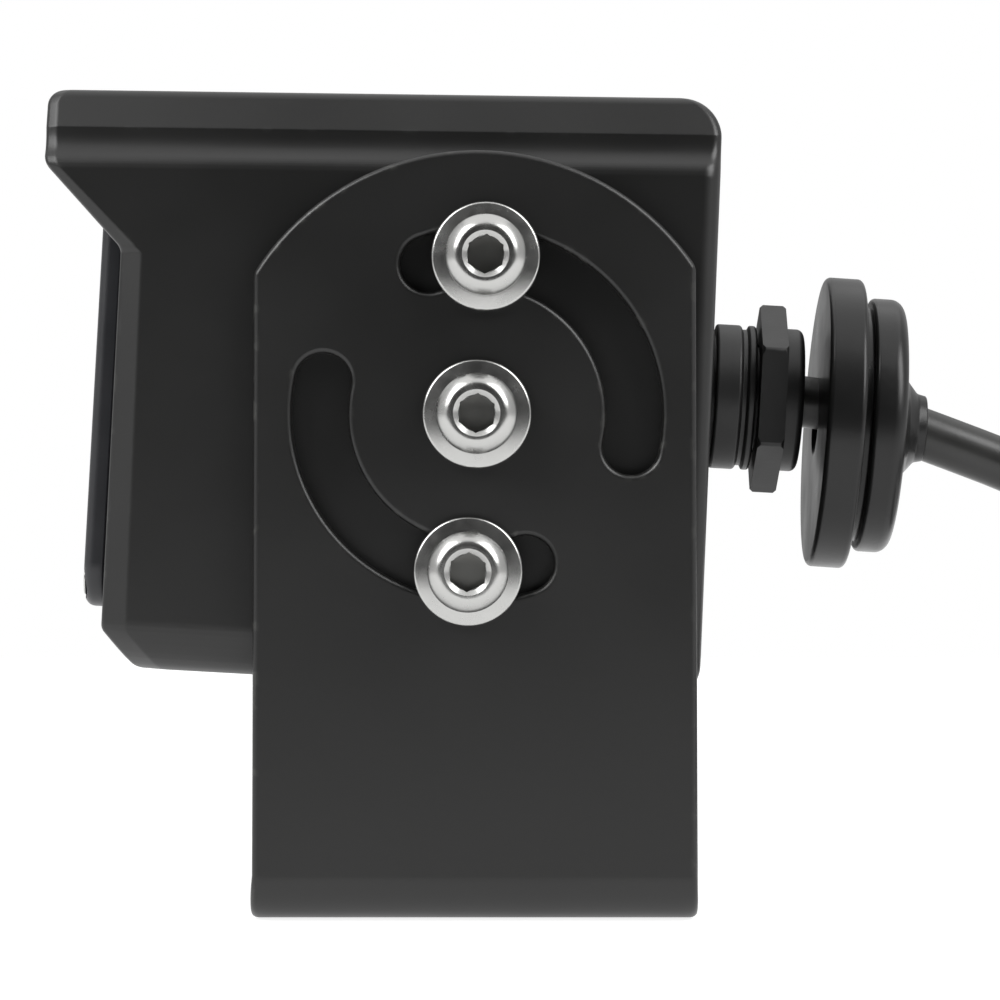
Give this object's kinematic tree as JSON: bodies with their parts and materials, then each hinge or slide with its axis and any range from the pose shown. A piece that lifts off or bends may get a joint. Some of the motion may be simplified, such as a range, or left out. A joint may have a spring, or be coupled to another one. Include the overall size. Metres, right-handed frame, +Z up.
{
  "type": "backup camera",
  "caption": "Boxy weatherproof vehicle rear-view camera under a hood, tilting in a slotted U bracket, with a cable gland, a rubber panel grommet and a coiled lead to a screw-ring plug.",
  "frame": {"origin": "on the underside of the bracket's base, at its middle, straight below the tilt axis", "axes": "-X the way the lens looks, +X the way the cable leaves, Y along the tilt axis from one bracket arm to the other, +Z up out of the surface that the bracket is screwed to"},
  "size_m": [0.176, 0.0844, 0.0731],
  "materials": {
    "bracket_paint": "satin black powder coat on pressed steel",
    "housing_paint": "satin black powder coat on cast aluminium",
    "frame_black": "smooth black coating",
    "smoked_pane": "smoked hard glass, polished",
    "soft_rubber": "smooth moulded black rubber",
    "stainless": "bright stainless steel",
    "board": "green circuit board with solder mask",
    "lamp_resin": "clear cast resin",
    "sensor_face": "resin with a meandering track",
    "optic_black": "matt black anodised and moulded parts",
    "lens_glass": "coated glass",
    "chip": "black chip with a glass lid",
    "standoff_brass": "turned brass",
    "nylon": "moulded black nylon",
    "cable_jacket": "black PVC jacket, semi gloss",
    "plug_body": "moulded black plug body",
    "nickel": "nickel plated brass"
  },
  "bodies": {
    "bracket": {"u_bracket": "bracket_paint", "cable": "cable_jacket", "cable_coil": "cable_jacket", "cable_tail": "cable_jacket", "cable_tie": "nylon", "connector_body": "plug_body", "connector_insert": "nickel"},
    "camera": {"housing": "housing_paint", "window_frame": "frame_black", "front_window": "smoked_pane", "window_gasket": "soft_rubber", "lens_shroud": "soft_rubber", "gland_seal_washer": "soft_rubber", "gland_seal": "soft_rubber", "cable_grommet": "soft_rubber", "frame_screw_1": "stainless", "frame_screw_2": "stainless", "frame_screw_3": "stainless", "frame_screw_4": "stainless", "pivot_screw_right": "stainless", "pivot_washer_right": "stainless", "upper_clamp_screw_right": "stainless", "upper_clamp_washer_right": "stainless", "lower_clamp_screw_right": "stainless", "lower_clamp_washer_right": "stainless", "pivot_screw_left": "stainless", "pivot_washer_left": "stainless", "upper_clamp_screw_left": "stainless", "upper_clamp_washer_left": "stainless", "lower_clamp_screw_left": "stainless", "lower_clamp_washer_left": "stainless", "led_board": "board", "sensor_board": "board", "power_board": "board", "ir_led_1": "lamp_resin", "ir_led_2": "lamp_resin", "ir_led_3": "lamp_resin", "ir_led_4": "lamp_resin", "ir_led_5": "lamp_resin", "ir_led_6": "lamp_resin", "ir_led_7": "lamp_resin", "ir_led_8": "lamp_resin", "ir_led_9": "lamp_resin", "ir_led_10": "lamp_resin", "ir_led_11": "lamp_resin", "ir_led_12": "lamp_resin", "light_sensor": "sensor_face", "lens_barrel": "optic_black", "lens_holder": "optic_black", "lens_front_glass": "lens_glass", "image_sensor": "chip", "board_standoff_1": "standoff_brass", "board_standoff_2": "standoff_brass", "board_standoff_3": "standoff_brass", "board_standoff_4": "standoff_brass", "cable_header": "nylon", "gland_body": "nylon", "gland_locknut": "nylon", "gland_nut": "nylon"},
    "coupling_ring": {"connector_ring": "nickel"}
  },
  "joints": [
    {"name": "camera_tilt", "type": "hinge", "parent": "bracket", "child": "camera", "pos_m": [0, 0, 0.0442], "axis": [0, 1, 0], "range_deg": [-21, 50], "deforming": ["cable"]},
    {"name": "ring_turn", "type": "hinge", "parent": "bracket", "child": "coupling_ring", "pos_m": [0.131, 0.03, 0.0073], "axis": [0, 1, 0], "continuous": true}
  ]
}
